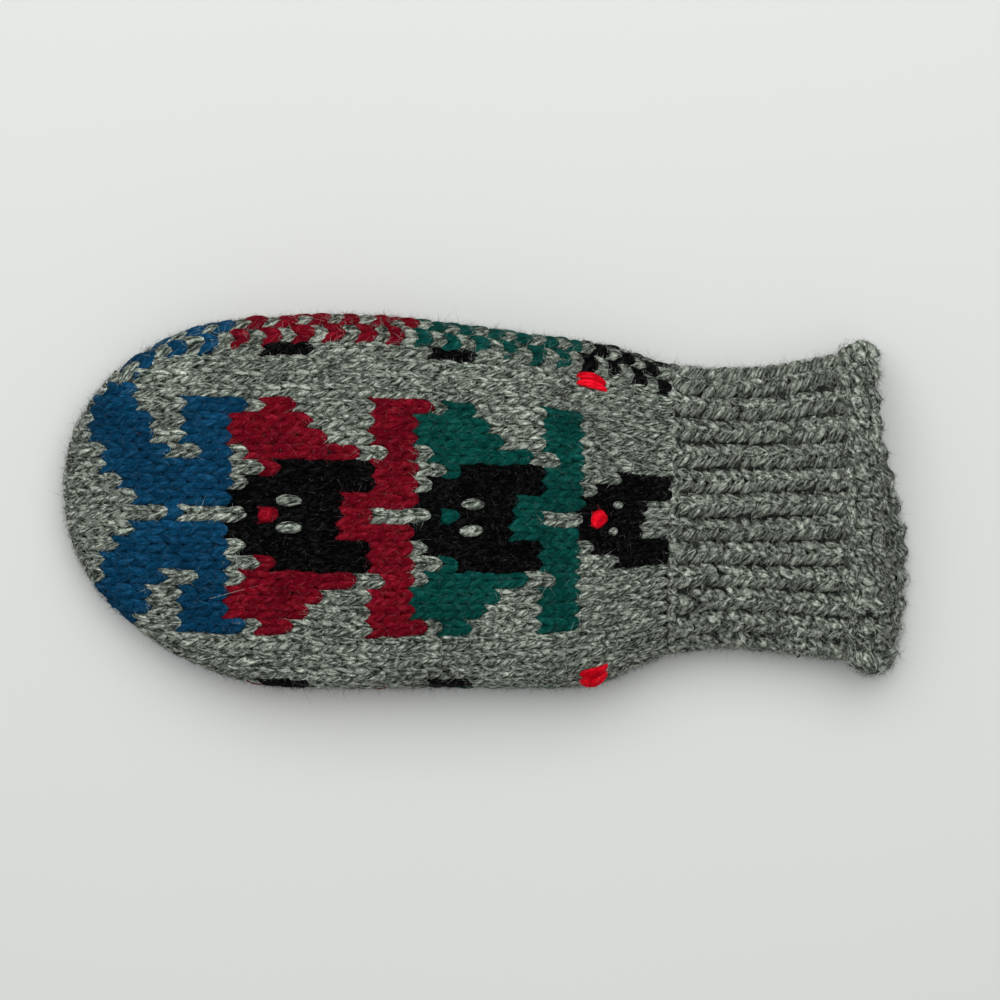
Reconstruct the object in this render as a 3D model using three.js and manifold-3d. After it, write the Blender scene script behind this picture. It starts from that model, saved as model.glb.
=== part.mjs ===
// A knitted mitten that lies palm down on a table: the hand bag, the ribbed cuff, the rolled edge of the
// cuff and the thumb, which is folded flat under the palm. Millimetres, +Z up, fingertips towards -X.
import * as THREE from "three";
import { mergeVertices } from "three/addons/utils/BufferGeometryUtils.js";
import Module from "manifold-3d";

// Driving dimensions along the mitten, as places on X.
const TIP_X = -132;
const TIP_ROUNDING = 70;
const CUFF_JOIN_X = 56;
const RIB_END_X = 111;

// The knitted walls and the gaps between pieces.
const WALL = 3;
const CUFF_WALL = 4.2;
const GAP = 0.3;
const THUMB_GAP = 0.7;

// The mitten's slices, from fingertips to cuff. half_width and middle follow the outline from above,
// under is how far the palm side is off the table, and top is the height of the back of the hand.
const SLICE_COLUMNS = ["x", "half_width", "middle", "under", "top"];
const SLICES = [
  [-132, 57.4, 4.2, 0, 14],
  [-112, 57.4, 3.6, 0, 20],
  [-92, 57.4, 2.2, 0, 25.5],
  [-62, 57.6, 0.5, 0, 30],
  [-42, 58.2, 0.6, 0, 31],
  [-12, 56.4, -0.6, 0, 31],
  [14, 54.8, -2.4, 0, 30],
  [34, 53.2, -3.4, 0, 27.5],
  [46, 49.6, -2.4, 0, 25],
  [58, 45.4, -2.2, 0, 23],
  [72, 43.8, -2.0, 0, 21],
  [90, 45.2, -2.4, 0.6, 20.5],
  [111, 48.6, -2.2, 2.6, 21.5],
  [124, 49.4, -2.4, 2.8, 22],
];

// How full a slice is: 2 is an ellipse, and more is boxier. A share of the underside lies flat.
const BACK_FULLNESS = 2.3;
const PALM_FULLNESS = 3.2;
const FLAT_SHARE = 0.05;
const TIP_FULLNESS = 6;

// The ribs of the cuff, which rise out of the plain knitting over the fade.
const RIBS = 25;
const RIB_DEPTH = 1.5;
const RIB_FADE = 9;

// The rolled edge: its reach along X, its thickness, and the scallops round it. The lower layer of the
// cuff pushes further out than the upper one, most where the swell is.
const EDGE_WIDTH = 11.8;
const EDGE_THICKNESS = 8.4;
const EDGE_PROUD = 3.2;
const EDGE_SCALLOPS = 26;
const SCALLOP_DEPTH = 0.5;
const LOWER_REACH = 8.5;
const SWELL_Y = -20;
const SWELL_HALF_WIDTH = 60;
const SWELL_FULL_BELOW = 2;
const SWELL_GONE_ABOVE = 4;
const EDGE_SLANT = 0.025;

// The thumb leaves the palm straight down, turns towards the fingertips and lies flat on the table.
const THUMB_Y = -19;
const THUMB_MOUTH_X = 8;
const THUMB_START_Z = 24;
const THUMB_BEND = 11;
const THUMB_TIP_X = -66;
const THUMB_TIP_ROUNDING = 21;
const THUMB_HALF_WIDTH = 18.5;
const THUMB_HALF_THICKNESS = 6.3;
const THUMB_MOUTH_HALF = 8.6;
const THUMB_SETTLE = 0.3;
const THUMB_FULLNESS = 2.4;

// The palm is draped over the thumb: a hump that is full this far beside the thumb's middle line, and
// is gone where the slope beside it ends.
const HUMP_HEIGHT = 2 * THUMB_HALF_THICKNESS - THUMB_SETTLE + 2 * GAP;
const HUMP_HALF_WIDTH = 20.5;
const HUMP_SLOPE = 14;
const HUMP_START_X = -50;
const HUMP_END_X = 0;

// How far a cutting block runs past a face that it opens, and how close points are one point.
const OVERCUT = 1;
const SAME_POINT = 1e-3;

// Facets round and along the pieces.
const HAND_AROUND = 40;
const TIP_STEPS = 9;
const HAND_STEPS = 15;
const CUFF_STEPS = 5;
const FACETS_PER_RIB = 4;
const FACETS_PER_SCALLOP = 3;
const EDGE_ROUND = 10;
const THUMB_AROUND = 26;
const THUMB_BEND_STEPS = 5;
const THUMB_STEPS = 5;
const THUMB_TIP_STEPS = 5;
const FULL_TURN = 2 * Math.PI;

const wasm = await Module();
wasm.setup();

const wool = (name, colour) =>
  new THREE.MeshStandardMaterial({ name, color: colour, roughness: 0.95, metalness: 0 });
const MARL_GREY = wool("marl_grey_wool", 0x70766e);
const RIB_GREY = wool("rib_grey_wool", 0x6b7169);

// A table column at any x, as a smooth curve through its rows.
function columnAt(column, x) {
  const k = SLICE_COLUMNS.indexOf(column);
  const last = SLICES.length - 1;
  const next = SLICES.findIndex((row) => row[0] > x);
  const i = Math.min(Math.max((next < 0 ? last : next) - 1, 0), last - 1);
  const slope = (j) => {
    const a = SLICES[Math.max(j - 1, 0)];
    const b = SLICES[Math.min(j + 1, last)];
    return (b[k] - a[k]) / (b[0] - a[0]);
  };
  const [from, to] = [SLICES[i], SLICES[i + 1]];
  const run = to[0] - from[0];
  const t = THREE.MathUtils.clamp((x - from[0]) / run, 0, 1);
  const bend = t * t * (3 - 2 * t);
  const leave = t * (1 - t) * (1 - t) * run * slope(i);
  const arrive = t * t * (t - 1) * run * slope(i + 1);
  return from[k] + (to[k] - from[k]) * bend + leave + arrive;
}

// How far the thumb lifts the palm above this place on the table.
function hump(x, y) {
  const along = x - THREE.MathUtils.clamp(x, HUMP_START_X, HUMP_END_X);
  const beside = Math.hypot(along, y - THUMB_Y) - HUMP_HALF_WIDTH;
  return HUMP_HEIGHT * (1 - THREE.MathUtils.smoothstep(beside, 0, HUMP_SLOPE));
}

const signedPower = (value, power) => Math.sign(value) * Math.abs(value) ** power;

// How much of a slice is left this far into a rounded tip: across for the width and up for the height.
function tipShare(inset, rounding) {
  const u = THREE.MathUtils.clamp(inset / rounding, 0, 1);
  return { across: Math.sqrt(1 - u * u), up: Math.sqrt(1 - u ** TIP_FULLNESS) };
}

// One slice of the mitten's wall as a closed curve, at a depth below the outside.
class Slice extends THREE.Curve {
  constructor(x, depth) {
    super();
    this.x = x;
    this.depth = depth;
    this.middle = columnAt("middle", x);
    this.under = Math.max(columnAt("under", x), 0);
    const top = columnAt("top", x);
    this.mid_height = (top + this.under) / 2;
    this.share = tipShare(TIP_X + TIP_ROUNDING - x, TIP_ROUNDING - depth);
    this.half_width = (columnAt("half_width", x) - depth) * this.share.across;
    this.rise = (top - this.mid_height - depth) * this.share.up;
  }

  getPoint(t, target = new THREE.Vector3()) {
    const across = Math.cos(FULL_TURN * t);
    const up = Math.sin(FULL_TURN * t);
    const power = 2 / (up >= 0 ? BACK_FULLNESS : PALM_FULLNESS);
    const y = this.middle + this.half_width * signedPower(across, power);
    if (up >= 0) return target.set(this.x, y, this.mid_height + this.rise * up ** power);
    const fall = this.mid_height - this.under - hump(this.x, y) - this.depth;
    const height = Math.min(Math.abs(up) ** power / (1 - FLAT_SHARE), 1);
    return target.set(this.x, y, this.mid_height - fall * this.share.up * height);
  }
}

const ringAt = (x, depth, count) => new Slice(x, depth).getSpacedPoints(count).slice(0, count);

// A closed skin through rings of points: a lathe whose rings are moved to the given places.
function skin(rings) {
  const around = rings[0].length;
  const profile = rings.map((ring, j) => new THREE.Vector2(1, j));
  const geometry = new THREE.LatheGeometry(profile, around);
  const place = geometry.getAttribute("position");
  for (let k = 0; k < place.count; k++) {
    const point = rings[k % rings.length][Math.floor(k / rings.length) % around];
    place.setXYZ(k, point.x, point.y, point.z);
  }
  geometry.deleteAttribute("normal");
  geometry.deleteAttribute("uv");
  return mergeVertices(geometry, SAME_POINT);
}

// A closed mesh as a solid for cutting.
function solidOf(geometry) {
  const vertProperties = new Float32Array(geometry.getAttribute("position").array);
  const triVerts = new Uint32Array(geometry.index.array);
  return new wasm.Manifold(new wasm.Mesh({ numProp: 3, vertProperties, triVerts }));
}

function geometryOf(solid) {
  const mesh = solid.getMesh();
  const geometry = new THREE.BufferGeometry();
  geometry.setAttribute("position", new THREE.BufferAttribute(mesh.vertProperties, 3));
  geometry.setIndex(new THREE.BufferAttribute(mesh.triVerts, 1));
  return geometry;
}

function piece(name, geometry, material) {
  const mesh = new THREE.Mesh(geometry, material);
  mesh.name = name;
  return mesh;
}

// The places along X of the hand's rings, from the tip to the cuff.
function handStations(depth, end) {
  const stations = [];
  for (let i = 0; i < TIP_STEPS; i++) {
    const angle = (Math.PI / 2) * (1 - i / TIP_STEPS);
    stations.push(TIP_X + TIP_ROUNDING - (TIP_ROUNDING - depth) * Math.sin(angle));
  }
  for (let i = 0; i <= HAND_STEPS; i++) {
    stations.push(THREE.MathUtils.lerp(TIP_X + TIP_ROUNDING, end, i / HAND_STEPS));
  }
  return stations;
}

// The hand bag's outside, closed at its cuff end, at a depth below the true outside.
function handBlock(depth, end) {
  const rings = handStations(depth, end).map((x) => ringAt(x, depth, HAND_AROUND));
  const centre = new Slice(end, depth);
  rings.push(rings[0].map(() => new THREE.Vector3(end, centre.middle, centre.mid_height)));
  return solidOf(skin(rings));
}

// The thumb's centre line: its place, and the direction across its thickness.
function thumbLine(distance) {
  const drop = THUMB_START_Z - THUMB_BEND - THUMB_HALF_THICKNESS;
  const arc = (THUMB_BEND * Math.PI) / 2;
  const low = THUMB_HALF_THICKNESS - THUMB_SETTLE;
  const angle = THREE.MathUtils.clamp((distance - drop) / THUMB_BEND, 0, Math.PI / 2);
  const straight = Math.max(distance - drop - arc, 0);
  const down = Math.min(distance, drop);
  return {
    x: THUMB_MOUTH_X - THUMB_BEND * (1 - Math.cos(angle)) - straight,
    z: low + THUMB_BEND * (1 - Math.sin(angle)) + (drop - down),
    across: new THREE.Vector3(-Math.cos(angle), 0, Math.sin(angle)),
    bent: angle / (Math.PI / 2),
    drop,
    arc,
  };
}

// One ring of the thumb, at a distance along its centre line and a depth below its outside.
function thumbRing(distance, depth) {
  const line = thumbLine(distance);
  const inset = THUMB_TIP_X + THUMB_TIP_ROUNDING - line.x;
  const share = tipShare(inset, THUMB_TIP_ROUNDING - depth);
  const half_thickness = THREE.MathUtils.lerp(THUMB_MOUTH_HALF, THUMB_HALF_THICKNESS, line.bent);
  const half_width = (THUMB_HALF_WIDTH - depth) * share.across;
  const power = 2 / THUMB_FULLNESS;
  const ring = [];
  for (let i = 0; i < THUMB_AROUND; i++) {
    const turn = (FULL_TURN * i) / THUMB_AROUND;
    const y = THUMB_Y + half_width * signedPower(Math.cos(turn), power);
    const off = (half_thickness - depth) * share.up * signedPower(Math.sin(turn), power);
    const floor = Math.max(depth - THUMB_SETTLE, 0);
    const z = Math.max(line.z + off * line.across.z, floor);
    ring.push(new THREE.Vector3(line.x + off * line.across.x, y, z));
  }
  return ring;
}

// The thumb as a block at a depth below its outside. Its mouth end is inside the hand bag.
function thumbBlock(depth) {
  const { drop, arc } = thumbLine(0);
  const flat = THUMB_MOUTH_X - THUMB_BEND - THUMB_TIP_X;
  const body = flat - THUMB_TIP_ROUNDING;
  const distances = [0, drop];
  for (let i = 1; i <= THUMB_BEND_STEPS; i++) distances.push(drop + (arc * i) / THUMB_BEND_STEPS);
  for (let i = 1; i <= THUMB_STEPS; i++) distances.push(drop + arc + (body * i) / THUMB_STEPS);
  for (let i = 1; i <= THUMB_TIP_STEPS; i++) {
    const round = Math.sin((Math.PI / 2) * (i / THUMB_TIP_STEPS));
    distances.push(drop + arc + body + (THUMB_TIP_ROUNDING - depth) * round);
  }
  const rings = distances.map((distance) => thumbRing(distance, depth));
  const start = thumbLine(0);
  rings.unshift(rings[0].map(() => new THREE.Vector3(start.x, THUMB_Y, start.z)));
  return solidOf(skin(rings.reverse()));
}

// How far the cuff's end at this place reaches past the end of its upper layer.
function reach(y, z, slice) {
  const full = slice.under + SWELL_FULL_BELOW;
  const low = 1 - THREE.MathUtils.smoothstep(z, full, slice.mid_height + SWELL_GONE_ABOVE);
  const off = THREE.MathUtils.clamp((y - SWELL_Y) / SWELL_HALF_WIDTH, -1, 1);
  return LOWER_REACH * low * (0.5 + 0.5 * Math.cos(Math.PI * off)) - EDGE_SLANT * y;
}

// The ribbed cuff: a tube open at both ends, with one flute for each rib outside and plain inside.
function cuffGeometry() {
  const start = CUFF_JOIN_X + GAP;
  const count = RIBS * FACETS_PER_RIB;
  const last = new Slice(RIB_END_X, 0);
  const ring = (share, depth, fluted) => {
    const x = THREE.MathUtils.lerp(start, RIB_END_X, share);
    const high = ringAt(x, depth, count);
    const low = ringAt(x, depth + RIB_DEPTH, count);
    const grown = THREE.MathUtils.smoothstep(x, start, start + RIB_FADE);
    return high.map((point, i) => {
      const sunk = 0.5 - 0.5 * Math.cos((FULL_TURN * i) / FACETS_PER_RIB);
      point.lerp(low[i], fluted ? sunk * grown : 0);
      point.x += share * reach(point.y, point.z, last);
      return point;
    });
  };
  const shares = Array.from({ length: CUFF_STEPS + 1 }, (_, i) => i / CUFF_STEPS);
  const outside = shares.map((share) => ring(share, 0, true));
  const inside = shares.map((share) => ring(share, CUFF_WALL, false)).reverse();
  return skin([...outside, ...inside, outside[0]]);
}

// The rolled edge: a scalloped ring round the cuff's end, flattened where it lies on the table.
function edgeGeometry() {
  const count = EDGE_SCALLOPS * FACETS_PER_SCALLOP;
  const centre_x = RIB_END_X + 2 * GAP + EDGE_WIDTH / 2;
  const last = new Slice(RIB_END_X, 0);
  const outer = ringAt(centre_x, 0, count);
  const inner = ringAt(centre_x, WALL, count);
  const rings = [];
  for (let j = 0; j <= EDGE_ROUND; j++) {
    const turn = (FULL_TURN * j) / EDGE_ROUND;
    rings.push(
      outer.map((point, i) => {
        const out = point.clone().sub(inner[i]).normalize();
        const lump = SCALLOP_DEPTH * Math.cos((FULL_TURN * i) / FACETS_PER_SCALLOP);
        const seat = EDGE_PROUD - EDGE_THICKNESS / 2;
        const off = seat + (EDGE_THICKNESS / 2 + lump) * Math.sin(turn);
        const place = point.clone().addScaledVector(out, off);
        place.x += reach(point.y, point.z, last) + (EDGE_WIDTH / 2) * Math.cos(turn);
        place.z = Math.max(place.z, 0);
        return place;
      }),
    );
  }
  return skin(rings.reverse());
}

// The hand bag is hollow, open at the cuff, with a hole in the palm where the thumb starts.
const palm_hole = thumbBlock(WALL);
const hollow = handBlock(WALL, CUFF_JOIN_X + OVERCUT);
const hand_solid = handBlock(0, CUFF_JOIN_X).subtract(hollow).subtract(palm_hole);

// The thumb is a bag whose mouth is cut to the palm with a gap.
const clearance = handBlock(-THUMB_GAP, CUFF_JOIN_X);
const thumb_solid = thumbBlock(0).subtract(palm_hole).subtract(clearance);

const mitten = new THREE.Group();
mitten.add(
  piece("hand", geometryOf(hand_solid), MARL_GREY),
  piece("ribbed_cuff", cuffGeometry(), RIB_GREY),
  piece("rolled_edge", edgeGeometry(), RIB_GREY),
  piece("thumb", geometryOf(thumb_solid), MARL_GREY),
);

// The origin is under the middle of the mitten, on the table.
const box = new THREE.Box3().setFromObject(mitten);
const centre = box.getCenter(new THREE.Vector3());
mitten.position.set(-centre.x, -centre.y, -box.min.z);

export default mitten;
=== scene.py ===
"""A hand-knitted wool mitten that lies palm down on a pale table.

Every stitch is a V of two strands of yarn, laid in rows and columns on the frame's surfaces: stranded
colour knitting on the hand, knit one, purl one ribs on the cuff, and the reverse side on the rolled edge.
"""

import math

import bmesh
import bpy
import numpy as np
from mathutils import Matrix, Vector
from mathutils.bvhtree import BVHTree


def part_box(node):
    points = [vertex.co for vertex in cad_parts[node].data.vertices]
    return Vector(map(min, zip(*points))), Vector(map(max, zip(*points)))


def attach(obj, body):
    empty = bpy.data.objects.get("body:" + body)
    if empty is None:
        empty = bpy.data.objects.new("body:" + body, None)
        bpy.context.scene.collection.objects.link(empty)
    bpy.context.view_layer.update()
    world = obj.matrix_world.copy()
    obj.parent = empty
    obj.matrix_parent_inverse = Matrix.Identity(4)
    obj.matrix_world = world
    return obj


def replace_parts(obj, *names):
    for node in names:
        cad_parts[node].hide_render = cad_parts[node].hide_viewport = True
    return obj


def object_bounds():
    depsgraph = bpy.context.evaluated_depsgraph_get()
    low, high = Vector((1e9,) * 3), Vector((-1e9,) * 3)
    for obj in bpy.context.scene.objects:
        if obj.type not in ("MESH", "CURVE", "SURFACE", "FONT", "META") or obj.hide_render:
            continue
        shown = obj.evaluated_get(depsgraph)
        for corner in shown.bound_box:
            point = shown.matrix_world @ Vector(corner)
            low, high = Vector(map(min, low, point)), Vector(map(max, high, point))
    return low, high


bl_info = {
    "name": "Knitted Mitten",
    "version": (1, 0, 0),
    "blender": (4, 5, 0),
    "location": "View3D > Sidebar > Mitten",
    "description": "Knits a wool mitten over its frame, stitch by stitch",
    "category": "Object",
}

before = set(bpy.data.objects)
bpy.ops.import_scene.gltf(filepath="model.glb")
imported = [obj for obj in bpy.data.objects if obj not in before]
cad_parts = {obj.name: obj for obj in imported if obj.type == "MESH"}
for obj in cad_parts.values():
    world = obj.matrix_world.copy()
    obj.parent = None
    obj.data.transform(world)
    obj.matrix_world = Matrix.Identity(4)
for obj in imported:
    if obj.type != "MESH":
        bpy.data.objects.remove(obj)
CAD_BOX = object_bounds()
MM = 0.001
FULL_TURN = 2 * math.pi

# How far apart the grid lines of a knitted surface are, in stitches.
GRID = 0.25

# How far inside the two ends of a frame node its first and last rings are looked for.
HAND_ENDS = (0.2 * MM, 1.0 * MM)
CUFF_ENDS = (0.2 * MM, 0.6 * MM)
THUMB_END = 1.5 * MM

# How a leg lies in its stitch: how far its middle is from the stitch's, in columns and in rows, how
# much wider and how much flatter it is when fully felted, and how far one that strays lengthwise rises.
LEG_COLUMN = 0.26
LEG_ROW = 0.4
FELTED_WIDER = 0.3
FELTED_FLATTER = 0.5
STRAY_RISE = 3 * MM

# How much more than usual purl bumps stray, and the turns in a stitch of the slow waves that make
# the ribs and the roll uneven.
PURL_WANDER = 1.5
WAVES = 4
WAVE_TURNS = (0.02, 0.16)

# The rows of the hand, from the cuff to the fingertips: how many, and how long each one is. Past the
# taper row the stitches keep their width, and the jog is how far rows shift at the round's beginning.
ROW_BANDS = ((10, 3.9 * MM), (12, 4.4 * MM), (12, 4.9 * MM), (4, 5.1 * MM))
LAST_ROW = sum(count for count, size in ROW_BANDS)
CUFF_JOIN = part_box("hand")[1].x
TIP_ROW_LENGTH = 5.3 * MM
ROWS_ROUND_TIP = 6
TAPER_ROW = 27
ROW_JOG = 1.3 * MM

# The columns of the hand, counted from the middle of the pattern towards the far side of the mitten.
COLUMNS = 54
BACK_FIRST = -13
BACK_LAST = 11
PALM_FIRST = 12
PALM_LAST = 40
PALM_MIDDLE = 26
SKIN_COLUMNS = 17
TIP_COLUMNS = 13

# The strip of the palm's checks on the far side: its columns and how much wider than others they are,
# how far it reaches onto the back at the cuff and at the fingertips, and the row where that changes.
EDGE_COLUMNS = 2
EDGE_STRETCH = 1.4
STRIP_AT_CUFF = 14 * MM
STRIP_AT_TIP = 8 * MM
STRIP_TAPER_ROW = 30

# How far stitches go over the seam where the back meets the palm or the strip, in stitches, and how
# far round the thumb's side the back goes. The last two are rows past the edge of the fingertips.
BACK_OVERLAP = 0.5
FAR_OVERLAP = 0.3
THUMB_SIDE_REACH = 0.6
BACK_PAST_TIP = 0.9
PALM_PAST_TIP = -0.3

# The middle of the pattern on Y where X is the second value, and how fast it drifts from there.
PATTERN_Y = -3.7 * MM
PATTERN_X = -88 * MM
PATTERN_DRIFT = 0.0153

# How far the hand's stitches stand off the frame, the share of that at the cuff, and the rows that
# it takes to rise. Beside the back they lie lower, and dyed ones come up again.
HAND_LOFT = 1.0 * MM
LOFT_AT_CUFF = 0.3
LOFT_ROWS = 5
SIDE_SINK = 0.15 * MM
DYED_LIFT = 0.3 * MM

# How far dyed yarn has swollen and closed up on the back, on the strip and on the palm, from 0 to 1.
BACK_SWELL = 0.7
STRIP_SWELL = 0.45
PALM_SWELL = 0.35

# How the back's columns spread over its curve: a column line, and where it lies in stitches.
SPREAD = (
    (-14, -15.8),
    (-11.5, -12.6),
    (-10.5, -11.05),
    (-7.5, -7.76),
    (0, 0),
    (7.5, 7.52),
    (11.5, 11.24),
    (14, 14),
)

# The chart, a row for each round of knitting from the cuff to the fingertips, read from the middle
# column outwards and knitted the same on both sides of it. B is the figure's body colour, K black,
# N the nose, which has the body colour, R bright red, b the colour of the next figure.
FIGURE = (
    ".BBBBBBB",
    ".BBBBBBB",
    ".BBB.BBB",
    "BBKK....",
    "BBKKB...",
    "KKKKB...",
    "KKKKBB..",
    "KKKKBBB.",
    "KKKKBBBB",
    "NKKBBBBB",
    "KKK.BBB.",
    ".K...BBb",
)
CUFF_HEAD = ("..KK", "..KK", "KKKK", "KKKK", "KKK", "RKK", "KK")
TIP_FIGURE = FIGURE[:3] + ("BBBB", ".BBBB", ".BBBBBB", "..BBBBBBB", "...BBBBBB", ".....BBB")
FIGURES = ((0, CUFF_HEAD, "black"), (7, FIGURE, "green"), (19, FIGURE, "crimson"), (31, TIP_FIGURE, "blue"))
NEXT_BODY = {"green": "crimson", "crimson": "blue"}

# The small black spots beside the figures: column, first row and last row.
SPOTS = ((11, 15, 17), (11, 26, 28))

# The cuff: its ribs, its rounds of knitting, the wall between its two faces, and how soon the ribs rise
# out of the plain knitting. A rib is this share of a column wide and spreads by the next where it is
# flat, and its sides fall away by the crown.
RIBS = 25
CUFF_ROWS = 16
CUFF_INSIDE_ROWS = 8
CUFF_WALL = 4.2 * MM
CUFF_INSIDE_LOFT = 0.7 * MM
RIB_FADE_ROWS = 2.5
RIB_LOFT = 0.3 * MM
RIB_SHARE = 0.89
RIB_SPREAD = 0.2
RIB_CROWN = 2.1 * MM
RIB_WAVER = 0.09
RIB_LEGS = {"reach": 0.7, "lean": 0.23, "crown": RIB_CROWN, "felted": 0.3, "wander": 1.7}

# The purl bumps in the cuff's furrows: half their length in columns, and how much more it is where the
# ribs are flat, how many times the ribs' height they lie below, how much higher they come where the
# ribs are flat, and how far under the ribs they stay.
PURL_REACH = 0.22
PURL_SPREAD = 0.12
PURL_DEPTH = 2.0
PURL_RISE = 3.0 * MM
PURL_UNDER = 0.6 * MM

# The rolled edge: the size of the roll, its scallops, and the lines of purl bumps round it, from the
# angle inside the cuff's mouth to the angle behind the roll. The frame's surface is looked for out to
# the first of the last two shares of the roll's size, and is taken as no nearer than the second.
ROLL_WIDTH = 11.8 * MM
ROLL_THICKNESS = 8.4 * MM
ROLL_SCALLOP = 1.0 * MM
ROLL_LOFT = 0.6 * MM
ROLL_LINES = 11
ROLL_FIRST_ANGLE = -110
ROLL_LAST_ANGLE = 205
ROLL_FARTHEST = 1.6
ROLL_NEAREST = 0.85

# How far the purl bumps of the roll arch, one line up and the next one down, how far that strays, and
# how uneven their heights are: in slow waves and from one bump to the next.
ROLL_ARCH = 0.2
ROLL_ARCH_STRAY = 0.14
ROLL_WAVER = 0.4 * MM
ROLL_STRAY = 0.15 * MM

# The thumb, from the bend under the palm to its tip. The bend is looked at this many times over its
# angle, and needs more than the fewest points to follow it.
THUMB_BEND_X = -3 * MM
THUMB_BEND_ROWS = 5
THUMB_BEND_ANGLE = 115
THUMB_BEND_LOOKS = 75
THUMB_BEND_FEWEST = 20
THUMB_COLUMNS = 18
THUMB_ROWS = 13

# Loose fibres on each part, and the short ones of the nap that lie on the yarn. The back's share of
# the hand's fibres, and how many times more often a stitch at the mitten's sides is chosen.
HAND_FIBRES = 15000
CUFF_FIBRES = 6000
EDGE_FIBRES = 4000
HAND_NAP = 34000
CUFF_NAP = 20000
EDGE_NAP = 10000
BACK_SHARE = 0.7
SIDE_FIBRES = 6
SIDE_SHARE = 0.45

# How steeply the nap and the loose fibres rise, how far a fibre curls, and how its length spreads.
LYING = (0.0, 0.3)
STANDING = (0.0, 1.6)
CURL = (0.1, 0.6)
LENGTH_SPREAD = (4, 0.25)

# How bright fibres are beside their wool: the marl's dark and pale ones and the dyed ones. The dyed
# ones that are paler are the rarer, the higher the last number is.
DARK_FIBRES = (0.03, 0.2)
PALE_FIBRES = (0.7, 1.3)
DYED_FIBRES = (0.7, 1.6)
PALEST_FIBRE = 0.16
PALE_IS_RARE = 9

# Where fibres begin: the middle part of a rib that they come from, how far its crown stands above the
# mean surface, how fast it falls away to the sides and how deep under it they begin. Then how high
# over the roll's surface, and how deep in the hand's, in millimetres from and to. The last value is
# how many columns count as the mitten's side.
RIB_ROOTS = 0.76
ROOT_CROWN = 0.5
ROOT_FALL = 3.0
ROOT_DEPTH = 0.2 * MM
EDGE_ROOTS = 0.5 * MM
HAND_ROOTS = (-0.1, 0.4)
SIDE_STITCHES = 3

# Stitches sewn on top of the knitting: column, row, width in columns, half its length in rows, how far
# it stands up in millimetres, how far it slants in columns, and the number of strands side by side.
EYES = (
    (-0.85, 26.84, 0.56, 0.86, 0.5, 0.0, 1),
    (0.85, 27.1, 0.56, 0.86, 0.5, 0.05, 1),
    (-0.85, 14.7, 0.56, 0.86, 0.5, 0.0, 1),
    (0.85, 14.9, 0.56, 0.86, 0.5, 0.05, 1),
    (-0.85, 4.1, 0.42, 0.38, 0.2, 0.0, 1),
    (1.05, 4.1, 0.42, 0.42, 0.2, 0.0, 1),
)
NOSES = (
    (0.0, 28.45, 0.74, 0.52, 0.2, 0.0, 1),
    (0.0, 16.45, 0.74, 0.52, 0.2, 0.0, 1),
    (0.0, 5.45, 1.0, 0.62, 0.3, 0.0, 1),
)
DOTS = ((9.9, 6.1, 1.05, 1.45, 1.7, 0.1, 2), (-10.7, 5.6, 1.05, 1.35, 1.7, -0.15, 2))

# A sewn strand: half its thickness, how much wider than its share of the stitch it is, how much
# narrower at its ends, how far they are tucked in, in millimetres, and how far they stray, in rows. An
# outer strand is shorter by the next share and lower by the last.
SEWN_THICKNESS = 0.9 * MM
SEWN_WIDER = 1.4
SEWN_TAPER = 0.3
SEWN_TUCK = 0.5
SEWN_STRAY = 0.03
OUTER_SHORTER = 0.1
OUTER_LOWER = 0.3

# Long stray fibres that lie across the back: where each one starts, and its run along X and Y, in
# millimetres.
STRAYS = (
    ((-90.2, -31.5), (22.0, 6.0)),
    ((-88.3, -3.5), (2.2, 5.6)),
    ((-76.0, -24.0), (-1.4, 11.0)),
    ((-24.0, 37.0), (9.0, -4.0)),
    ((20.5, -9.0), (5.0, 7.0)),
    ((60.0, 3.5), (7.5, 3.0)),
)

# A stray fibre's radius beside the thickness of the nap, its height over the frame and how far its
# middle bows up, in millimetres.
STRAY_RADIUS = 0.75
STRAY_HEIGHT = 0.6
STRAY_BOW = 1.2

# The stage, in metres and watts: the table, the light of the room, the window, and the camera. Its lens
# is in millimetres, and the frame is as wide as this at the height of the mitten's middle.
TABLE_HALF = 1.5
ROOM_LIGHT = 0.52
WINDOW_SIZE = (1.5, 1.1)
WINDOW_POWER = 9.7
WINDOW_PLACE = (-0.02, 0.42, 0.85)
LENS = 135
FRAME_WIDTH = 0.310
SUBJECT_HEIGHT = 0.020
CAMERA_PLACE = (0.0044, 0.0003)


def linear(code):
    """A hex colour as the linear red, green, blue and alpha that a shader takes."""
    values = [int(code[i : i + 2], 16) / 255 for i in (0, 2, 4)]
    values = [v / 12.92 if v <= 0.04045 else ((v + 0.055) / 1.055) ** 2.4 for v in values]
    return (*values, 1.0)


def length(name, description, default):
    """A size that the user can change."""
    return bpy.props.FloatProperty(name=name, description=description, default=default, unit="LENGTH")


def share(name, description, default):
    """A share of something that the user can change."""
    return bpy.props.FloatProperty(name=name, description=description, default=default, subtype="FACTOR")


def colour(name, description, code):
    """A colour that the user can change."""
    return bpy.props.FloatVectorProperty(
        name=name, description=description, default=linear(code), size=4, min=0, max=1, subtype="COLOR"
    )


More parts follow.
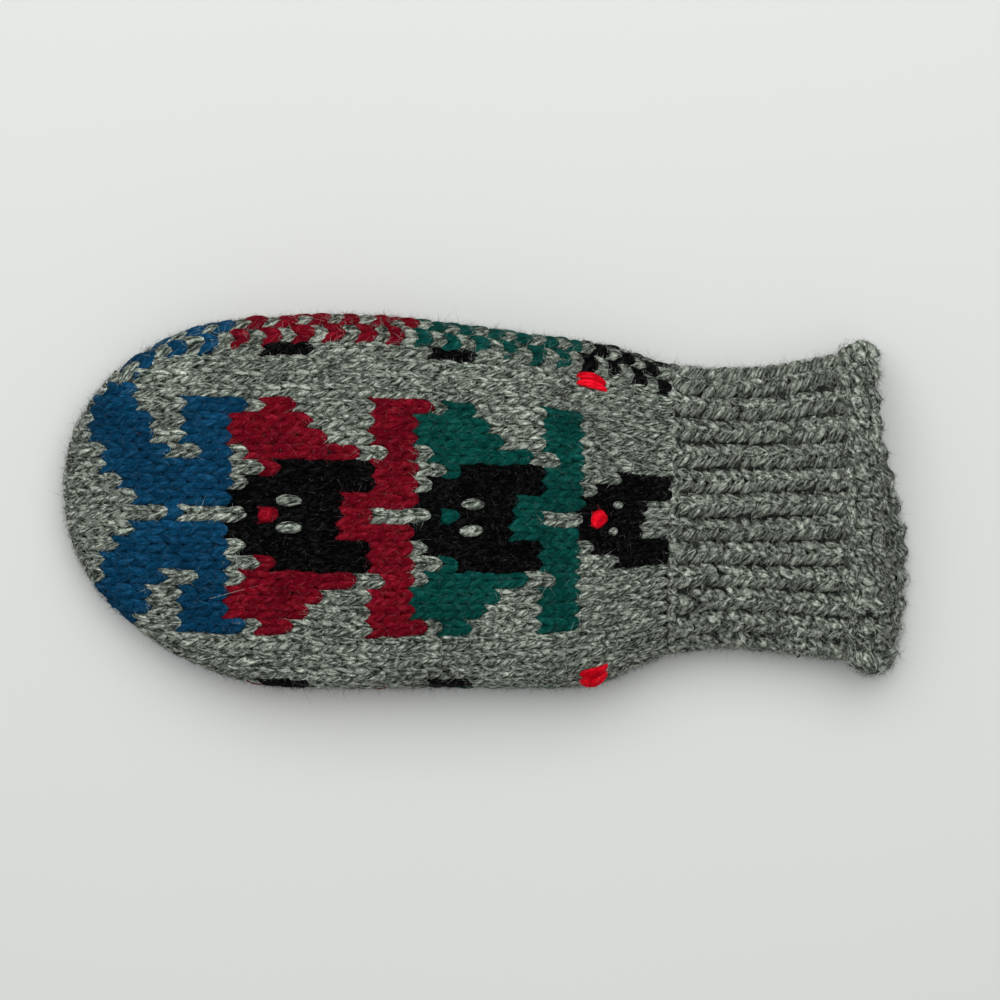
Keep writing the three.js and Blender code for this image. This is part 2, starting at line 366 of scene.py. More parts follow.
class MittenKnit(bpy.types.PropertyGroup):
    """The sizes of the knitting."""

    strand: length("Strand", "Thickness of the yarn across the fabric", 2.5 * MM)
    bow: length("Bow", "How far a strand dips at its ends, where the next stitch crosses it", 0.5 * MM)
    tip_dip: length("Dip", "How much more it dips at the end that goes behind the next stitch", 0.5 * MM)
    leg_width: share("Leg width", "Width of one leg of a stitch, as a share of the stitch", 0.58)
    unevenness: share("Unevenness", "How far stitches stray, as a share of a stitch", 0.042)
    rib_relief: length("Rib relief", "How far the ribs stand above the furrows between them", 2.8 * MM)
    fuzz: length("Fuzz", "Length of the loose fibres", 2.1 * MM)
    nap: length("Nap", "Length of the short fibres that lie on the yarn", 1.5 * MM)
    hair: length("Hair", "Thickness of a loose fibre", 0.085 * MM)
    fibre: length("Fibre", "Thickness of a short fibre of the nap", 0.11 * MM)


class MittenWool(bpy.types.PropertyGroup):
    """The colours of the wools and the table."""

    grey: colour("Grey", "Marl wool, as a whole", "6c746b")
    grey_light: colour("Light grey", "The pale fibres of the marl wool", "b4baae")
    grey_dark: colour("Dark grey", "The dark fibres of the marl wool", "20251f")
    blue: colour("Blue", "The wool of the figure at the fingertips", "083a58")
    crimson: colour("Crimson", "The wool of the middle figure", "6e0719")
    green: colour("Green", "The wool of the figure near the cuff", "05423c")
    black: colour("Black", "The wool of the heads and spots", "040405")
    red: colour("Bright red", "The wool of the small dots", "d80a20")
    scarlet: colour("Scarlet", "The wool of the middle figure's nose", "82091a")
    table: colour("Table", "The pale table top", "d9dad8")


def knit():
    """The sizes of the knitting in this scene."""
    return bpy.context.scene.mitten_knit


def wool():
    """The colours of the wools in this scene."""
    return bpy.context.scene.mitten_wool


# Lines and surfaces


def eased(value):
    """0 to 1 with a soft start and a soft end."""
    value = np.clip(value, 0, 1)
    return value * value * (3 - 2 * value)


def unit(vectors):
    """Vectors in the same direction, each of length 1."""
    return vectors / np.maximum(np.linalg.norm(vectors, axis=-1, keepdims=True), 1e-12)


def smoothed(points, width, closed):
    """Points with the frame's facets eased out, over a width counted in points."""
    kernel = np.exp(-0.5 * (np.arange(-3 * width, 3 * width + 1) / width) ** 2)
    kernel /= kernel.sum()
    pad = len(kernel) // 2
    if closed:
        wide = np.concatenate([points[-pad:], points, points[:pad]])
    else:
        head = 2 * points[0] - points[1 : pad + 1][::-1]
        tail = 2 * points[-1] - points[-pad - 1 : -1][::-1]
        wide = np.concatenate([head, points, tail])
    return np.stack([np.convolve(wide[:, axis], kernel, "valid") for axis in range(3)], 1)


def run_along(line):
    """How far along a line each of its points is."""
    return np.concatenate([[0], np.cumsum(np.linalg.norm(np.diff(line, axis=0), axis=1))])


def on_line(runs, line):
    """The places this far along a line."""
    run = run_along(line)
    return np.stack([np.interp(runs, run, line[:, axis]) for axis in range(3)], 1)


def between(grid, row, column):
    """A grid's values at rows and columns that lie between its lines. The columns may go round."""
    i, j = row.astype(int), column.astype(int) % grid.shape[1]
    a, b = (row - i)[..., None], (column - np.floor(column))[..., None]
    after = (j + 1) % grid.shape[1]
    near = grid[i, j] * (1 - b) + grid[i, after] * b
    far = grid[i + 1, j] * (1 - b) + grid[i + 1, after] * b
    return near * (1 - a) + far * a


def frame_mesh(node):
    """A frame node's mesh, its triangles joined at their corners."""
    bm = bmesh.new()
    bm.from_mesh(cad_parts[node].data)
    bmesh.ops.remove_doubles(bm, verts=bm.verts, dist=0.001 * MM)
    return bm


class Outside:
    """The outside of a frame node, found by looking at it from all round."""

    FAR = 0.2
    SIDE_LOOKS = 15
    TIP_LOOKS = 240
    TIP_CORE = 5 * MM

    # Where the top and the foot are looked for, as shares of half the width.
    TOP_PLACES = (-0.3, 0, 0.3)
    FOOT_PLACES = (-0.5, 0, 0.6)

    def __init__(self, node):
        bm = frame_mesh(node)
        self.tree = BVHTree.FromBMesh(bm)
        bm.free()
        self.low, self.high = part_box(node)

    def meet(self, core, way, past=0.0):
        """Where the outside is, from a place inside it and a direction. None over a hole. It may lie
        this far past the place, on its other side."""
        core = Vector(core)
        way = Vector(way)
        return self.tree.ray_cast(core + way * self.FAR, -way, self.FAR + past)[0]

    def nearest(self, places):
        """The places on the frame that are nearest to these."""
        return np.array([self.tree.find_nearest(Vector(place))[0] for place in places], float)

    def ring(self, x, count, smooth):
        """Points round the outside at x, from the -Y side over the top. The second value says
        which of them are over a hole."""
        heights = np.linspace(self.low.z + MM, self.high.z - MM, self.SIDE_LOOKS)
        inside = (self.low.y + self.high.y) / 2
        sides = [[self.meet((x, inside, z), (0, way, 0)) for z in heights] for way in (-1, 1)]
        left = min(p.y for p in sides[0] if p)
        right = max(p.y for p in sides[1] if p)
        middle = (left + right) / 2
        half = (right - left) / 2
        tall = self.high.z / 2
        tops = [self.meet((x, middle + half * s, tall), (0, 0, 1)) for s in self.TOP_PLACES]
        feet = [self.meet((x, middle + half * s, tall), (0, 0, -1)) for s in self.FOOT_PLACES]
        top = max(p.z for p in tops if p)
        foot = min([p.z for p in feet if p] or [self.low.z])
        rise = (top - foot) / 2
        reach = max(half - rise, 0)
        flat, round_end = 2 * reach, math.pi * rise
        points = []
        for distance in np.arange(count) / count * 2 * (flat + round_end):
            end, distance = divmod(distance + round_end / 2, flat + round_end)
            sign = -1 if end % 2 == 0 else 1
            turn = min(distance, round_end) / rise
            way = (0, sign * math.sin(turn), sign * math.cos(turn))
            along = max(distance - round_end, 0)
            point = self.meet((x, middle + sign * (reach - along), foot + rise), way, rise / 2)
            points.append(point if point else (np.nan,) * 3)
        points = np.array(points, float)
        holes = np.isnan(points[:, 0])
        if holes.any():
            places = np.arange(count)
            for axis in range(3):
                points[holes, axis] = np.interp(
                    places[holes], places[~holes], points[~holes, axis], period=count
                )
        return smoothed(points, smooth, True), holes

    def lengthwise(self, start, up):
        """Points along the outside in the plane of constant Y, from a start near the fingertips over
        the edge. up is 1 on the back of the hand and -1 on the palm."""
        core = (start[0] + self.TIP_CORE, start[1], self.middle_height(start))
        points = []
        for turn in np.linspace(0, math.pi, self.TIP_LOOKS):
            point = self.meet(core, (-math.sin(turn), 0, up * math.cos(turn)))
            if point is None:
                break
            points.append(point)
        return smoothed(np.array(points, float), 3, False)

    def raised(self, points, depth):
        """The points, none of them deeper under the outside than this."""
        made = points.copy()
        for k, point in enumerate(points):
            place, normal = self.tree.find_nearest(Vector(point))[:2]
            if (place - Vector(point)).dot(normal) > depth:
                made[k] = place - normal * depth
        return made

    def middle_height(self, point):
        """Half the height of the mitten at a point."""
        return self.meet((point[0], point[1], 0), (0, 0, 1)).z / 2


class Tube:
    """The rings of a frame node at many places on X, each evenly spaced round its length. anchor
    chooses the point of a ring that it starts from, and depth is how far the smoothed rings may lie
    under the outside."""

    ROUND = 360

    def __init__(self, outside, first, last, anchor, spacing=3 * MM, smooth=5, depth=None):
        count = max(int(abs(last - first) / spacing), 2)
        self.places = np.linspace(first, last, count + 1)
        rings, holes, lengths = [], [], []
        for x in self.places:
            ring, open_to = outside.ring(x, self.ROUND, smooth)
            if depth is not None:
                ring = smoothed(outside.raised(ring, depth), 1, True)
            start = anchor(ring, x)
            ring = np.roll(ring, -start, 0)
            line = np.concatenate([ring, ring[:1]])
            total = run_along(line)[-1]
            rings.append(on_line(np.linspace(0, total, self.ROUND + 1)[: self.ROUND], line))
            holes.append(np.roll(open_to, -start))
            lengths.append(total)
        wide = np.array([rings[0], *rings, rings[-1]])
        self.rings = (wide[:-2] + 2 * wide[1:-1] + wide[2:]) / 4
        self.holes = np.array(holes)
        self.lengths = np.array(lengths)

    def along(self, x):
        """A place on X as an index into the rings."""
        step = self.places[1] - self.places[0]
        return np.clip((x - self.places[0]) / step, 0, len(self.places) - 1.001)

    def girth(self, x):
        """The length round the outside at x."""
        return np.interp(-np.asarray(x), -self.places, self.lengths)

    def point(self, turn, x):
        """The outside a share of a turn round from the anchor, at x."""
        point = between(self.rings, self.along(x), (turn % 1) * self.ROUND)
        point[..., 0] = x
        return point

    def is_hole(self, turn, x):
        """Whether there is a hole a share of a turn round, at x."""
        return self.holes[int(round(float(self.along(x)))), int((turn % 1) * self.ROUND) % self.ROUND]

    def side(self, x, way):
        """How far round the side of the mitten is, as a share of a turn. way is 1 for +Y."""
        ring = self.rings[int(round(float(self.along(x))))]
        widest = int(np.argmax(ring[:, 1] * way))
        return widest / self.ROUND if way > 0 else widest / self.ROUND - 1


class Skin:
    """A knitted surface as a grid of points, with columns round the mitten and rows along it."""

    def __init__(self, points, first_column, first_row):
        self.points = points
        self.first = (first_row, first_column)
        self.normals = unit(np.cross(np.gradient(points, axis=1), np.gradient(points, axis=0)))

    def sample(self, grid, column, row):
        """A grid's values at these columns and rows."""
        rows = np.clip((row - self.first[0]) / GRID, 0, grid.shape[0] - 1.001)
        columns = np.clip((column - self.first[1]) / GRID, 0, grid.shape[1] - 1.001)
        return between(grid, rows, columns)

    def place(self, column, row, height):
        """Points at these columns and rows, this far off the surface, and none below the table."""
        normal = self.sample(self.normals, column, row)
        point = self.sample(self.points, column, row) + normal * np.asarray(height)[..., None]
        point[..., 2] = np.maximum(point[..., 2], 0)
        return point


def every(columns, rows):
    """The column and the row of every stitch of a grid."""
    column, row = np.meshgrid(columns, rows)
    return column.ravel(), row.ravel()


# The hand's rows and columns


def row_place(row):
    """Where a row line is on X."""
    edges, place = [CUFF_JOIN + 2 * ROW_BANDS[0][1], CUFF_JOIN], CUFF_JOIN
    counts = [-2, 0]
    for count, size in ROW_BANDS:
        place -= count * size
        edges.append(place)
        counts.append(counts[-1] + count)
    return np.interp(row, counts, edges)


def pattern_middle(x):
    """Where the middle of the pattern runs on Y: it drifts towards the thumb's side at the cuff."""
    return PATTERN_Y - (x - PATTERN_X) * PATTERN_DRIFT


def loft(row):
    """How far the hand's stitches stand off the frame at a row."""
    risen = eased(np.asarray(row, float) / LOFT_ROWS)
    return HAND_LOFT * (LOFT_AT_CUFF + (1 - LOFT_AT_CUFF) * risen)


def yarn(column, row):
    """The yarn of one stitch of the hand, read off the chart."""
    start, figure, body = [entry for entry in FIGURES if entry[0] <= row][-1]
    if column >= PALM_FIRST:
        return body if (column + row) % 2 == 0 else "grey"
    away = abs(column)
    if any(away == spot and first <= row <= last for spot, first, last in SPOTS):
        return "black"
    line = figure[row - start] if row - start < len(figure) else ""
    mark = line[away] if away < len(line) else "."
    return {".": "grey", "B": body, "N": body, "K": "black", "R": "red", "b": NEXT_BODY.get(body)}[mark]


class HandKnit:
    """Where the hand's stitches lie, as three skins: the back, the palm, and the strip of the palm's
    checks that follows the far side of the mitten round to the fingertips."""

    def __init__(self):
        self.outside = Outside("hand")
        first, last = CUFF_JOIN - HAND_ENDS[0], row_place(LAST_ROW) - HAND_ENDS[1]
        self.tube = Tube(self.outside, first, last, self.anchor, spacing=2.5 * MM, depth=0.2 * MM)
        self.taper_start = row_place(TAPER_ROW)
        self.full_pitch = float(self.tube.girth(self.taper_start)) / COLUMNS
        self.back = self.skin(0, False)
        self.palm = self.skin(PALM_MIDDLE, True)
        self.strip = self.strip_skin()

    def anchor(self, ring, x):
        """The point of a ring that is on the back, at the middle of the pattern."""
        over = np.where(ring[:, 2] > self.outside.middle_height((x, ring[:, 1].mean())))[0]
        return int(over[np.argmin(np.abs(ring[over, 1] - pattern_middle(x)))])

    def pitch(self, x):
        """The width of a stitch at x. It stays the same where the hand tapers."""
        return np.where(x > self.taper_start, self.tube.girth(x) / COLUMNS, self.full_pitch)

    def spread(self, column):
        """Where a column line of the back lies, in stitches from the middle of the pattern."""
        lines, places = zip(*SPREAD)
        return np.interp(column, lines, places)

    def skin(self, middle, is_palm):
        """The back or the palm, up to its last ring and then round the fingertips."""
        columns = np.arange(middle - SKIN_COLUMNS, middle + SKIN_COLUMNS + GRID, GRID)
        rows = np.arange(-1, LAST_ROW + GRID / 2, GRID)
        column, row = np.meshgrid(columns, rows)
        x = row_place(row) + ROW_JOG * (eased((column + 1) / 2) - 0.5) * (1 - is_palm)
        girth = self.tube.girth(x)
        off = (column - middle if is_palm else self.spread(column)) * self.pitch(x)
        points = self.tube.point(off / girth + is_palm * PALM_MIDDLE / COLUMNS, x)
        tips = []
        for j, past_middle in enumerate(columns > middle):
            room = self.room(points[-1, j][0], is_palm, past_middle) * girth[-1, j]
            over_tip = abs(off[-1, j]) <= room - MM
            tips.append(self.round_tip(points[-1, j], points[-3, j], over_tip, -1 if is_palm else 1))
        tail = np.stack([line for line, reach in tips], 1)
        skin = Skin(np.concatenate([points, tail]), columns[0], rows[0])
        skin.reach = [reach for line, reach in tips]
        return skin

    def round_tip(self, start, before, over_tip, up):
        """Points from the last ring on, round the fingertips, and how many rows there are to the edge.
        At the mitten's sides they go straight on along the frame, and no row counts."""
        steps = np.arange(1, int(ROWS_ROUND_TIP / GRID) + 1) * GRID * TIP_ROW_LENGTH
        if not over_tip:
            ahead = start + (start - before) / np.linalg.norm(start - before) * steps[:, None]
            return self.outside.nearest(ahead), -1
        line = self.outside.lengthwise(start, up)
        line = np.concatenate([start[None], line[int(np.argmax(line[:, 0] <= start[0])) :]])
        return on_line(steps, line), run_along(line)[int(np.argmin(line[:, 0]))] / TIP_ROW_LENGTH

    def room(self, x, is_palm, past_middle):
        """How far the side of the mitten is from the middle of the back, or of the palm, at x, as a
        share of a turn."""
        if not is_palm:
            return abs(self.tube.side(x, 1 if past_middle else -1))
        middle = PALM_MIDDLE / COLUMNS
        if past_middle:
            return 1 + self.tube.side(x, -1) - middle
        return middle - self.tube.side(x, 1)

    def seams(self, x):
        """Where the back ends at x on either side, as lengths round from the pattern's middle: on the
        thumb's side, and on the far side, where the strip begins and ends."""
        girth = float(self.tube.girth(x))
        pitch = float(self.pitch(x))
        around = -self.tube.side(x, -1) * girth + THUMB_SIDE_REACH * pitch
        thumb_side = -min(self.spread(0.5 - BACK_FIRST) * pitch, around)
        far = self.tube.side(x, 1) * girth
        taper_start = row_place(STRIP_TAPER_ROW)
        taper = eased((taper_start - x) / (taper_start - row_place(LAST_ROW)))
        strip = (1 - taper) * STRIP_AT_CUFF + taper * STRIP_AT_TIP
        start = min(self.spread(0.5 + BACK_LAST) * pitch, far - strip)
        return thumb_side, start, start + EDGE_COLUMNS * EDGE_STRETCH * pitch

    def strip_skin(self):
        """The strip of checks, which starts where the back ends at each row."""
        columns = np.arange(PALM_FIRST - 1.5, PALM_FIRST + 3.5, GRID)
        rows = np.arange(-1, LAST_ROW + GRID / 2, GRID)
        grid = []
        for row in rows:
            x = float(row_place(row)) + ROW_JOG / 2
            across = (columns - PALM_FIRST + 0.5) * float(self.pitch(x)) * EDGE_STRETCH
            turn = (self.seams(x)[1] + across) / float(self.tube.girth(x))
            grid.append(self.tube.point(turn, np.full(len(columns), x)))
        grid = np.array(grid)
        grid[1:-1] = (grid[:-2] + 2 * grid[1:-1] + grid[2:]) / 4
        return Skin(grid, columns[0], rows[0])

    def stitches(self):
        """Every stitch of the hand, as its skin, column, row and yarn."""
        found = []
        for row in range(LAST_ROW):
            x = float(row_place(row + 0.5))
            girth, pitch = float(self.tube.girth(x)), float(self.pitch(x))
            thumb_side, far_side, strip_end = self.seams(x)
            back = (thumb_side - BACK_OVERLAP * pitch, far_side + FAR_OVERLAP * pitch)
            for column in range(BACK_FIRST - 1, BACK_LAST + 2):
                if back[0] < self.spread(column) * pitch < back[1]:
                    found.append((self.back, column, row, yarn(column, row)))
            for column in range(PALM_FIRST, PALM_FIRST + EDGE_COLUMNS):
                found.append((self.strip, column, row, yarn(column, row)))
            for column in range(PALM_FIRST, PALM_LAST + 2):
                place = (column - PALM_MIDDLE) * pitch + PALM_MIDDLE / COLUMNS * girth
                on_palm = strip_end < place < girth + thumb_side + FAR_OVERLAP * pitch
                if on_palm and not self.tube.is_hole(place / girth, x):
                    found.append((self.palm, column, row, yarn(column, row)))
        for skin, middle, past in ((self.back, 0, BACK_PAST_TIP), (self.palm, PALM_MIDDLE, PALM_PAST_TIP)):
            for row in range(LAST_ROW, LAST_ROW + ROWS_ROUND_TIP):
                for column in range(middle - TIP_COLUMNS, middle + TIP_COLUMNS + 1):
                    reach = skin.reach[int(round((column - skin.first[1]) / GRID))]
                    if reach > 0 and row - LAST_ROW + 0.5 < reach + past:
                        found.append((skin, column, row, yarn(column, row)))
        return found


# The cuff's rows and columns


def rib_fade(row):
    """How far the ribs have risen out of the plain knitting at a row of the cuff."""
    return eased((CUFF_ROWS - row) / RIB_FADE_ROWS)


class CuffKnit:
    """The cuff's mean surface, whose columns are ribs and whose rows run from the rolled edge to the
    hand, and the surface of the rolled edge, whose rows run round the roll."""

    def __init__(self):
        outside = Outside("ribbed_cuff")
        roll = Outside("rolled_edge")
        first, last = outside.low.x + CUFF_ENDS[0], roll.low.x - CUFF_ENDS[1]
        tube = Tube(outside, last, first, lambda ring, x: int(np.argmax(ring[:, 1])))
        columns = np.arange(-1, RIBS + 1.01, GRID)
        rim = tube.point(columns / RIBS, np.full(len(columns), last))
        ways = unit(np.cross(np.gradient(rim, axis=0), np.array([-1.0, 0, 0])))
        centre = rim
        for correction in range(3):
            centre = np.array([self.roll_centre(roll, *pair) for pair in zip(centre, ways)])
        centre = smoothed(centre, 1, False)
        rows = np.arange(-1, CUFF_ROWS + 1.01, GRID)
        x = centre[None, :, 0] + (outside.low.x - centre[None, :, 0]) * rows[:, None] / CUFF_ROWS
        turn = np.broadcast_to(columns / RIBS, x.shape)
        points = tube.point(turn, np.clip(x, outside.low.x, last))
        points[..., 0] = x
        self.ribs = Skin(points, columns[0], rows[0])
        self.roll = self.roll_skin(roll, centre, ways, columns)

    def roll_centre(self, roll, point, way):
        """The middle of the rolled edge's section that this point of the cuff's rim belongs to."""
        end = roll.tree.ray_cast(Vector((roll.FAR, *point[1:])), Vector((-1, 0, 0)), roll.FAR)[0]
        x = (end.x if end else roll.low.x + ROLL_WIDTH) - ROLL_WIDTH / 2
        side = roll.meet((x, *point[1:]), way)
        middle = Vector((x, *point[1:])) if side is None else side - Vector(way) * (ROLL_THICKNESS / 2)
        return (x, middle.y, middle.z)

    def roll_skin(self, roll, centre, ways, columns):
        """The surface of the roll: round its section at each column, out to the frame, and scalloped."""
        rows = np.arange(0, ROLL_LINES + 0.01, GRID)
        turn = np.radians(ROLL_FIRST_ANGLE + (ROLL_LAST_ANGLE - ROLL_FIRST_ANGLE) * rows / ROLL_LINES)
        spoke = (ROLL_THICKNESS / 2 * np.sin(turn))[:, None, None] * ways[None]
        spoke[..., 0] += (ROLL_WIDTH / 2 * np.cos(turn))[:, None]
        reach = np.linalg.norm(spoke, axis=2)
        for i, j in np.ndindex(reach.shape):
            size = reach[i, j]
            way = Vector(spoke[i, j])
            place, *_, away = roll.tree.ray_cast(Vector(centre[j]), way, ROLL_FARTHEST * size)
            if place:
                reach[i, j] = max(away, ROLL_NEAREST * size)
        reach[:, 1:-1] = (reach[:, :-2] + 2 * reach[:, 1:-1] + reach[:, 2:]) / 4
        scallop = ROLL_SCALLOP * np.cos(FULL_TURN * columns)
        points = centre[None] + unit(spoke) * (reach + scallop)[..., None]
        points[..., 2] = np.maximum(points[..., 2], 0)
        return Skin(points, columns[0], rows[0])


# Strands and fibres


class Shape:
    """A small shape that is repeated: its corners, its faces and their texture places. The faces are
    sorted, because a sphere's come in another order in each run."""

    def __init__(self, bm):
        bm.verts.index_update()
        layer = bm.loops.layers.uv.active
        self.corners = np.array([v.co for v in bm.verts], float)
        faces = sorted([(loop.vert.index, *loop[layer].uv) for loop in face.loops] for face in bm.faces)
        self.faces = [[corner[0] for corner in face] for face in faces]
        self.uv = np.array([corner[1:] for face in faces for corner in face])
        bm.free()


def strand_shape():
    """A strand between two crossings: round, with tapered ends, and its texture seam underneath."""
    bm = bmesh.new()
    bm.loops.layers.uv.new("strand")
    bmesh.ops.create_uvsphere(bm, u_segments=6, v_segments=6, radius=1, calc_uvs=True)
    bmesh.ops.rotate(bm, verts=bm.verts, cent=(0, 0, 0), matrix=Matrix.Rotation(math.pi / 2, 3, "Z"))
    return Shape(bm)


def fibre_shape(joints):
    """A fibre: three-sided, and tapered to a point, with joints to bend at."""
    bm = bmesh.new()
    bm.loops.layers.uv.new("strand")
    bmesh.ops.create_cone(
        bm, cap_ends=True, cap_tris=False, segments=3, radius1=1, radius2=0, depth=2, calc_uvs=True
    )
    bmesh.ops.remove_doubles(bm, verts=bm.verts, dist=0.001)
    sides = [e for e in bm.edges if abs(e.verts[0].co.z - e.verts[1].co.z) > 1]
    if joints:
        bmesh.ops.subdivide_edges(bm, edges=sides, cuts=joints)
    return Shape(bm)


STRAND = strand_shape()
FIBRE = fibre_shape(1)
SHORT_FIBRE = fibre_shape(0)
STRAND_FULLNESS = 0.55


def linked(name, mesh):
    """An object with this mesh, in the scene."""
    piece = bpy.data.objects.new(name, mesh)
    bpy.context.scene.collection.objects.link(piece)
    return piece


def repeated(name, shape, places, tones, tints=None):
    """One mesh of many copies of a shape. places holds every copy's corners, and tones a value from
    0 to 1 for each copy, which its material varies by."""
    count, corners = places.shape[:2]
    starts = np.arange(count) * corners
    faces = [[start + i for i in face] for start in starts.tolist() for face in shape.faces]
    mesh = bpy.data.meshes.new(name)
    mesh.from_pydata(places.reshape(-1, 3), [], faces)
    layer = mesh.uv_layers.new(name="strand")
    layer.data.foreach_set("uv", np.tile(shape.uv, (count, 1)).astype(np.float32).ravel())
    tone = mesh.attributes.new("tone", "FLOAT", "POINT")
    tone.data.foreach_set("value", np.repeat(tones, corners).astype(np.float32))
    if tints is not None:
        tint = mesh.attributes.new("tint", "FLOAT_COLOR", "POINT")
        tint.data.foreach_set("color", np.repeat(tints, corners, axis=0).astype(np.float32).ravel())
    mesh.polygons.foreach_set("use_smooth", [True] * len(mesh.polygons))
    mesh.update()
    return linked(name, mesh)


def strand_axes():
    """A strand's corners as places across, up and along it, fuller than a ball."""
    across, up, along = STRAND.corners[:, 0], -STRAND.corners[:, 1], STRAND.corners[:, 2]
    full = np.maximum(np.hypot(across, up), 1e-6) ** (STRAND_FULLNESS - 1)
    return across * full, up * full, along


def waver(column, row, random, size):
    """A slow unevenness over a surface: how far it is off at each column and row."""
    off = 0
    for wave in range(WAVES):
        turns = random.uniform(*WAVE_TURNS, 2) * random.choice((-1, 1), 2)
        off = off + np.sin(FULL_TURN * (turns[0] * column + turns[1] * row + random.random()))
    return size * off / 2


def legs(
    skin, columns, rows, random, reach=0.78, lean=0.19, width=1.0, lift=0.0, crown=0.0, felted=0.0,
    wander=1, wall=0.0
):
    """The two legs of each stitch, with their points towards the cuff. reach is half the length of a
    leg in rows and lean how far it slants in columns. width is the stitch's share of a column, lift
    how far it stands off the skin, and crown how far its two sides fall away. felted, from 0 to 1, is
    how far the legs have swollen and closed up, and wander how much more than usual they stray. With
    a wall, they are on its inside."""
    size = knit()
    across, up, along = strand_axes()
    across = -across if wall else across
    columns = np.asarray(columns, float)[:, None]
    rows = np.asarray(rows, float)[:, None]
    count = len(columns)
    made = []
    for side in (-1, 1):
        stray = random.normal(0, size.unevenness * wander, (4, count, 1))
        middle = LEG_COLUMN + lean * along + stray[0]
        off = side * middle + across * size.leg_width / 2 * (1 + FELTED_WIDER * felted + stray[1])
        row = rows + LEG_ROW + (reach + stray[2]) * along + stray[3]
        dip = (size.bow * along**2 + size.tip_dip * along) * (1 - FELTED_FLATTER * felted)
        dip = dip + crown * 4 * off**2
        height = lift - size.strand / 2 - dip + up * size.strand / 2 + stray[2] * STRAY_RISE
        made.append(skin.place(columns + width * off, row, -wall - height if wall else height))
    return np.concatenate(made), random.random(2 * count)


def bars(skin, columns, rows, random, reach, thick, lift, arch, bow):
    """Strands that run round the mitten, one for each purl bump: reach is half the length of one in
    columns, thick half its width in rows, arch how far its middle rises towards the fingertips, and
    bow how far its ends dip."""
    size = knit()
    across, up, along = strand_axes()
    count = len(columns)
    stray = random.normal(0, size.unevenness * PURL_WANDER, (4, count, 1))
    column = columns[:, None] + (reach + stray[0]) * along + stray[1]
    row = rows[:, None] + arch * (1 - along**2) - across * thick * (1 + stray[2]) + stray[3]
    height = lift - size.strand / 2 - bow * along**2 + up * size.strand / 2
    return skin.place(column, row, height), random.random(count)


def fibres(name, node, shape, roots, normals, tints, random):
    """Loose fibres that curl out of the yarn at these places, most of them lying low."""
    size = knit()
    long, thickness, rise = size.nap, size.fibre, LYING
    if shape is FIBRE:
        long, thickness, rise = size.fuzz, size.hair, STANDING
    count = len(roots)
    x, y, z = shape.corners.T
    along = (z + 1)[None, :, None] / 2
    flat = random.normal(0, 1, (count, 3))
    flat -= normals * (flat * normals).sum(1, keepdims=True)
    way = unit(unit(flat) + normals * random.uniform(*rise, (count, 1)))[:, None]
    curl = unit(random.normal(0, 1, (count, 3)))[:, None] * random.uniform(*CURL, (count, 1, 1))
    reach = long * random.gamma(*LENGTH_SPREAD, (count, 1, 1))
    first = unit(np.cross(way, curl))
    second = np.cross(way, first)
    round_it = (first * x[None, :, None] + second * y[None, :, None]) * thickness / 2
    places = roots[:, None] + reach * (way * along + curl * along**2) + round_it
    places[..., 2] = np.maximum(places[..., 2], 0)
    dressed(repeated(name, shape, places, random.random(count), tints), node, loose_fibre())


def fibre_tint(key, random):
    """The colour of one fibre. Marl wool has dark and pale ones, and a few dyed ones are paler where
    they stand out in the light."""
    if key == "grey":
        span = DARK_FIBRES if random.random() < 0.5 else PALE_FIBRES
        return times(wool().grey_light, random.uniform(*span))
    strength = random.uniform(*DYED_FIBRES)
    return times(getattr(wool(), key), strength, PALEST_FIBRE * random.random() ** PALE_IS_RARE)


def dressed(piece, node, material):
    """A finished piece with its material, on the body that all of it rides on."""
    piece.data.materials.append(material)
    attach(piece, "root")
    return piece


def knitted(name, node, strands, material=None):
    """A piece of knitting from its strands' places and tones, in marl wool if in no other."""
    places, tones = strands
    dressed(repeated(name, STRAND, places, tones), node, material or marl_wool())


def ground_fabric(name, node, outer, inner):
    """The closed fabric under the strands: the frame's wall, thinner by these depths on its outside
    and on its inside. It stands for the frame node."""
    outside = Outside(node)
    bm = frame_mesh(node)
    bm.normal_update()
    places = []
    for vert in bm.verts:
        found = outside.tree.ray_cast(vert.co + vert.normal * MM, vert.normal, outside.FAR)[0]
        places.append(vert.co - vert.normal * (outer if found is None else inner))
    for vert, place in zip(bm.verts, places):
        vert.co = place
        vert.co.z = max(vert.co.z, min(outer, inner))
    for face in bm.faces:
        face.smooth = True
    mesh = bpy.data.meshes.new(name)
    bm.to_mesh(mesh)
    bm.free()
    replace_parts(dressed(linked(name, mesh), node, felted_ground()), node)


# Materials


def add(tree, kind, settings=None, inputs=None, links=None):
    """A node with its settings, its input values and the sockets that feed it."""
    node = tree.nodes.new(kind)
    for key, value in (settings or {}).items():
        setattr(node, key, value)
    for key, value in (inputs or {}).items():
        node.inputs[key].default_value = value
    for key, source in (links or {}).items():
        tree.links.new(source, node.inputs[key])
    return node


def shared(name, fill, *values):
    """The material of this name. The first time, fill adds its nodes, from its tree and the values."""
    material = bpy.data.materials.get(name)
    if material is None:
        material = bpy.data.materials.new(name)
        material.use_nodes = True
        material.node_tree.nodes.clear()
        surface = fill(material.node_tree, *values)
        add(material.node_tree, "ShaderNodeOutputMaterial", links={"Surface": surface.outputs[0]})
    return material


def times(value, factor, more=0.0):
    """A colour made this many times brighter, and then brighter by some more all over."""
    return (*[min(channel * factor + more, 1) for channel in value[:3]], 1.0)


